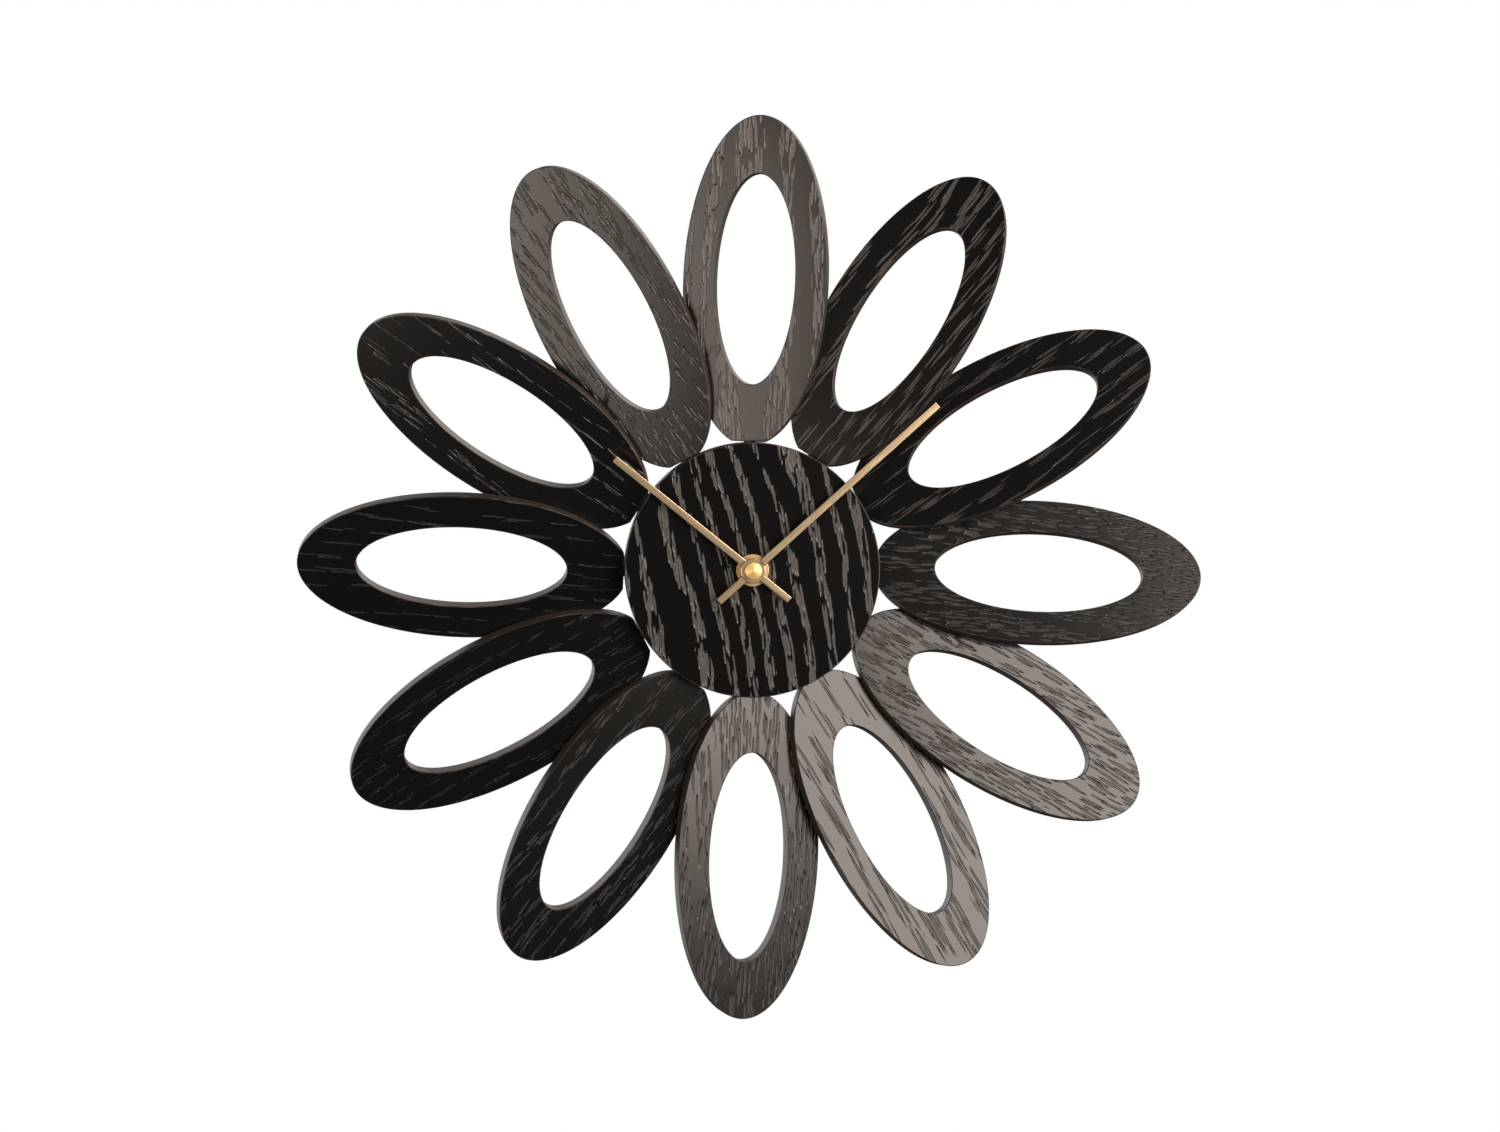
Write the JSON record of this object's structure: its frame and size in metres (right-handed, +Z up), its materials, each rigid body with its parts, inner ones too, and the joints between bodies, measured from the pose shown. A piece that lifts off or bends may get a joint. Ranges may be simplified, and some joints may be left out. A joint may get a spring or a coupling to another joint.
{
  "type": "wall clock",
  "caption": "Quartz wall clock shaped as a flower of tilted elliptical wooden rings around a round dial, with straight brass hands and a battery movement behind.",
  "frame": {"origin": "on the hands' axis, at the flat back of the movement case, where the clock meets the wall", "axes": "+Z up to twelve o'clock, +X to three o'clock, the dial faces -Y and +Y points into the wall; the hands turn about the Y axis"},
  "size_m": [0.3986, 0.034, 0.3986],
  "materials": {
    "petal_veneer": "black stained open-pore veneer, satin",
    "dial_veneer": "black stained open-pore veneer, satin",
    "hub_board": "black painted fibreboard, matt",
    "dowel_beech": "plain beech",
    "case_plastic": "moulded black ABS, fine texture",
    "train_plastic": "moulded natural acetal",
    "hanger_steel": "zinc plated sheet",
    "turned_brass": "turned and polished",
    "gasket_rubber": "matt",
    "cell_jacket": "plastic film on a steel can, gloss",
    "contact_steel": "nickel plated",
    "board_laminate": "solder mask",
    "chip_resin": "poured resin",
    "crystal_can": "drawn can",
    "bobbin_plastic": "moulded nylon",
    "copper_wire": "enamelled copper wire, densely wound",
    "soft_iron": "stamped",
    "magnet_metal": "sintered, plated",
    "wheel_plastic": "moulded acetal",
    "knob_plastic": "moulded",
    "hand_brass": "brushed along the length"
  },
  "bodies": {
    "clock_body": {"petal_01": "petal_veneer", "petal_02": "petal_veneer", "petal_03": "petal_veneer", "petal_04": "petal_veneer", "petal_05": "petal_veneer", "petal_06": "petal_veneer", "petal_07": "petal_veneer", "petal_08": "petal_veneer", "petal_09": "petal_veneer", "petal_10": "petal_veneer", "petal_11": "petal_veneer", "petal_12": "petal_veneer", "dial_disc": "dial_veneer", "hub_ring": "hub_board", "root_dowels": "dowel_beech", "movement_rear_case": "case_plastic", "movement_front_case": "case_plastic", "train_plate": "train_plastic", "hanger_plate": "hanger_steel", "threaded_bush": "turned_brass", "rubber_gasket": "gasket_rubber", "dial_washer": "turned_brass", "dial_nut": "turned_brass", "battery_contact_negative": "contact_steel", "battery_contact_positive": "contact_steel", "circuit_board": "board_laminate", "driver_chip": "chip_resin", "quartz_crystal": "crystal_can", "coil_bobbin": "bobbin_plastic", "coil_winding": "copper_wire", "coil_core": "soft_iron", "stator_plate": "soft_iron"},
    "minute": {"minute_arbor": "turned_brass", "minute_hand": "hand_brass", "hand_cap": "turned_brass"},
    "hour": {"hour_wheel": "wheel_plastic", "hour_hand": "hand_brass"},
    "setting_wheel": {"setting_wheel": "wheel_plastic"},
    "setting_knob": {"setting_knob": "knob_plastic"},
    "rotor": {"rotor_pinion": "wheel_plastic", "rotor_magnet": "magnet_metal"},
    "fifth_wheel": {"fifth_wheel": "wheel_plastic"},
    "fourth_wheel": {"fourth_wheel": "wheel_plastic"},
    "third_wheel": {"third_wheel": "wheel_plastic"},
    "centre_wheel": {"centre_wheel": "wheel_plastic"},
    "battery": {"battery_cell": "cell_jacket"}
  },
  "joints": [
    {"name": "minute_spin", "type": "hinge", "parent": "clock_body", "child": "minute", "pos_m": [0, 0, 0], "axis": [0, 1, 0], "continuous": true},
    {"name": "hour_spin", "type": "hinge", "parent": "clock_body", "child": "hour", "pos_m": [0, 0, 0], "axis": [0, 1, 0], "continuous": true},
    {"name": "setting_wheel_spin", "type": "hinge", "parent": "clock_body", "child": "setting_wheel", "pos_m": [0.00811, 0, -0.00217], "axis": [0, 1, 0], "continuous": true},
    {"name": "setting_knob_spin", "type": "hinge", "parent": "clock_body", "child": "setting_knob", "pos_m": [0.01651, 0, -0.00217], "axis": [0, 1, 0], "continuous": true},
    {"name": "rotor_spin", "type": "hinge", "parent": "clock_body", "child": "rotor", "pos_m": [0.00916, 0, 0.00696], "axis": [0, 1, 0], "continuous": true},
    {"name": "fifth_wheel_spin", "type": "hinge", "parent": "clock_body", "child": "fifth_wheel", "pos_m": [0.0052, 0, 0.003], "axis": [0, 1, 0], "continuous": true},
    {"name": "fourth_wheel_spin", "type": "hinge", "parent": "clock_body", "child": "fourth_wheel", "pos_m": [0, 0, 0], "axis": [0, 1, 0], "continuous": true},
    {"name": "third_wheel_spin", "type": "hinge", "parent": "clock_body", "child": "third_wheel", "pos_m": [-0.00779, 0, 0.0045], "axis": [0, 1, 0], "continuous": true},
    {"name": "centre_wheel_spin", "type": "hinge", "parent": "clock_body", "child": "centre_wheel", "pos_m": [0, 0, 0], "axis": [0, 1, 0], "continuous": true},
    {"name": "battery_slide", "type": "slide", "parent": "clock_body", "child": "battery", "axis": [0, 1, 0], "range_m": [0, 0.02]}
  ],
  "couplings": [
    {"joint": "setting_wheel_spin", "follows": "minute_spin", "ratio": -0.33333},
    {"joint": "hour_spin", "follows": "minute_spin", "ratio": 0.083333},
    {"joint": "setting_knob_spin", "follows": "minute_spin", "ratio": 1},
    {"joint": "fifth_wheel_spin", "follows": "rotor_spin", "ratio": -0.16667},
    {"joint": "fourth_wheel_spin", "follows": "rotor_spin", "ratio": 0.033333},
    {"joint": "third_wheel_spin", "follows": "rotor_spin", "ratio": -0.0041667},
    {"joint": "centre_wheel_spin", "follows": "rotor_spin", "ratio": 0.00055556}
  ]
}
